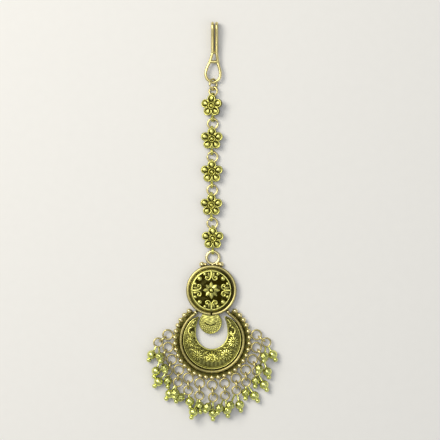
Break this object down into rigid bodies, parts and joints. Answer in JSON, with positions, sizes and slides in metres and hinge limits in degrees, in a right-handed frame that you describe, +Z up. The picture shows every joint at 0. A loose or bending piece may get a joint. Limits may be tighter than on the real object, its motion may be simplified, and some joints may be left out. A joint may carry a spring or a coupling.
{
  "type": "maang tikka",
  "caption": "Forehead pendant of antique brass on a chain of flowers: hair hook, round embossed medallion, crescent plate and a fringe of beads.",
  "frame": {"origin": "middle of the underside of the bounding box, with the jewel lying flat on its back", "axes": "+Y along the chain from the pendant to the hair hook; +Z up, out of the jewel's face; +X to the right, seen from above"},
  "size_m": [0.043, 0.1316, 0.0061],
  "materials": {
    "pendant_brass": "cast and soldered, oxidised dark and rubbed bright on high parts",
    "relief_brass": "struck relief with a blackened ground",
    "chain_brass": "cast, oxidised in the hollows",
    "ring_brass": "drawn wire, lightly oxidised",
    "hook_wire": "drawn wire, lightly oxidised",
    "fringe_brass": "fine drawn wire",
    "bead_brass": "tumbled bright"
  },
  "bodies": {
    "root": {"pendant_frame": "pendant_brass", "medallion_rosette": "relief_brass", "moon_boss": "relief_brass", "crescent_dome": "relief_brass", "flower_link_1": "chain_brass", "flower_link_2": "chain_brass", "flower_link_3": "chain_brass", "flower_link_4": "chain_brass", "flower_link_5": "chain_brass", "jump_ring_1": "ring_brass", "jump_ring_2": "ring_brass", "jump_ring_3": "ring_brass", "jump_ring_4": "ring_brass", "hook_link": "ring_brass", "hook_ring": "ring_brass", "hair_hook": "hook_wire", "drop_link_01": "fringe_brass", "drop_link_02": "fringe_brass", "drop_link_03": "fringe_brass", "drop_link_04": "fringe_brass", "drop_link_05": "fringe_brass", "drop_link_06": "fringe_brass", "drop_link_07": "fringe_brass", "drop_link_08": "fringe_brass", "drop_link_09": "fringe_brass", "drop_link_10": "fringe_brass", "drop_link_11": "fringe_brass", "drop_link_12": "fringe_brass", "drop_link_13": "fringe_brass", "bead_drop_01": "bead_brass", "bead_drop_02": "bead_brass", "bead_drop_03": "bead_brass", "bead_drop_04": "bead_brass", "bead_drop_05": "bead_brass", "bead_drop_06": "bead_brass", "bead_drop_07": "bead_brass", "bead_drop_08": "bead_brass", "bead_drop_09": "bead_brass", "bead_drop_10": "bead_brass", "bead_drop_11": "bead_brass", "bead_drop_12": "bead_brass", "bead_drop_13": "bead_brass"}
  },
  "joints": []
}
